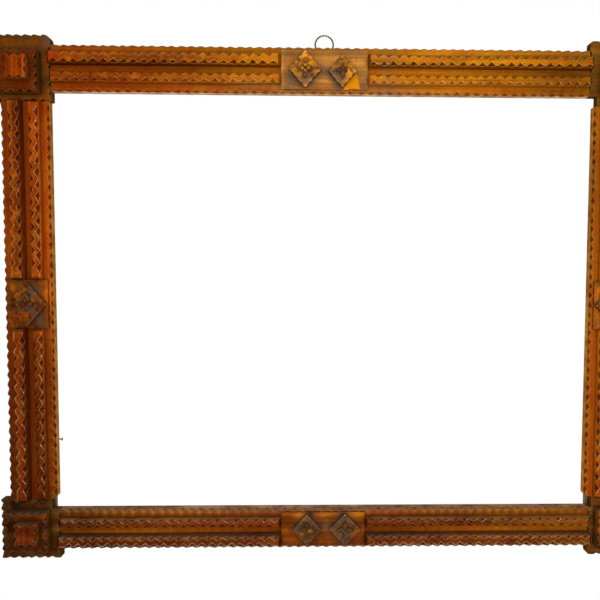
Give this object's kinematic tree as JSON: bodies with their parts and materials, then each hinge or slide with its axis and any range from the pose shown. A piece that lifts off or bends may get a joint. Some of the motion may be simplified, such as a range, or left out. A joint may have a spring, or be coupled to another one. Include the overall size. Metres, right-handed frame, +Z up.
{
  "type": "picture frame",
  "caption": "Rectangular layered wooden picture frame with chip-carved raised strips, stepped corner blocks, carved diamonds at the middle of each side and a wire hanging ring.",
  "frame": {"origin": "the point at the top inside of the hanging ring where it bears on its nail", "axes": "+X to the right across the front, +Y from the front towards the wall, +Z up"},
  "size_m": [0.628, 0.041, 0.5107],
  "materials": {
    "board_wood": "old glossy varnish over red-brown stain",
    "strip_wood": "old glossy varnish over red-brown stain, worn on the chip cuts",
    "block_wood": "old dark glossy varnish",
    "tile_wood": "old glossy varnish over red stain",
    "plate_wood": "old glossy varnish, golden brown",
    "diamond_wood": "old glossy varnish over red-brown stain",
    "back_wood": "bare, aged and dusty",
    "ring_wire": "dark tarnish",
    "strap_tin": "dull and slightly rusted",
    "nail_iron": "dark, lightly rusted"
  },
  "bodies": {
    "frame": {"back_nails": "nail_iron", "back_slip_bottom": "back_wood", "back_slip_left": "back_wood", "back_slip_right": "back_wood", "back_slip_top": "back_wood", "bottom_diamond_base_left": "diamond_wood", "bottom_diamond_base_right": "diamond_wood", "bottom_diamond_cap_left": "diamond_wood", "bottom_diamond_cap_right": "diamond_wood", "bottom_inner_strip_left": "strip_wood", "bottom_inner_strip_right": "strip_wood", "bottom_outer_strip_left": "strip_wood", "bottom_outer_strip_right": "strip_wood", "bottom_rail": "board_wood", "centre_plate_bottom": "plate_wood", "centre_plate_left": "plate_wood", "centre_plate_right": "plate_wood", "centre_plate_top": "plate_wood", "corner_block_bottom_left": "block_wood", "corner_block_bottom_right": "block_wood", "corner_block_top_left": "block_wood", "corner_block_top_right": "block_wood", "corner_plate_bottom_left": "board_wood", "corner_plate_bottom_right": "board_wood", "corner_plate_top_left": "board_wood", "corner_plate_top_right": "board_wood", "corner_tile_bottom_left": "tile_wood", "corner_tile_bottom_right": "tile_wood", "corner_tile_top_left": "tile_wood", "corner_tile_top_right": "tile_wood", "glazing_brad": "nail_iron", "hanger_strap": "strap_tin", "hanger_tacks": "nail_iron", "left_diamond_base": "diamond_wood", "left_diamond_cap": "diamond_wood", "left_inner_strip_lower": "strip_wood", "left_inner_strip_upper": "strip_wood", "left_outer_strip_lower": "strip_wood", "left_outer_strip_upper": "strip_wood", "left_stile": "board_wood", "right_diamond_base": "diamond_wood", "right_diamond_cap": "diamond_wood", "right_inner_strip_lower": "strip_wood", "right_inner_strip_upper": "strip_wood", "right_outer_strip_lower": "strip_wood", "right_outer_strip_upper": "strip_wood", "right_stile": "board_wood", "top_diamond_base_left": "diamond_wood", "top_diamond_base_right": "diamond_wood", "top_diamond_cap_left": "diamond_wood", "top_diamond_cap_right": "diamond_wood", "top_inner_strip_left": "strip_wood", "top_inner_strip_right": "strip_wood", "top_outer_strip_left": "strip_wood", "top_outer_strip_right": "strip_wood", "top_rail": "board_wood"},
    "ring": {"hanging_ring": "ring_wire"}
  },
  "joints": [
    {"name": "ring_swing", "type": "hinge", "parent": "frame", "child": "ring", "pos_m": [0, 0, -0.01675], "axis": [1, 0, 0], "range_deg": [-180, 28]}
  ]
}
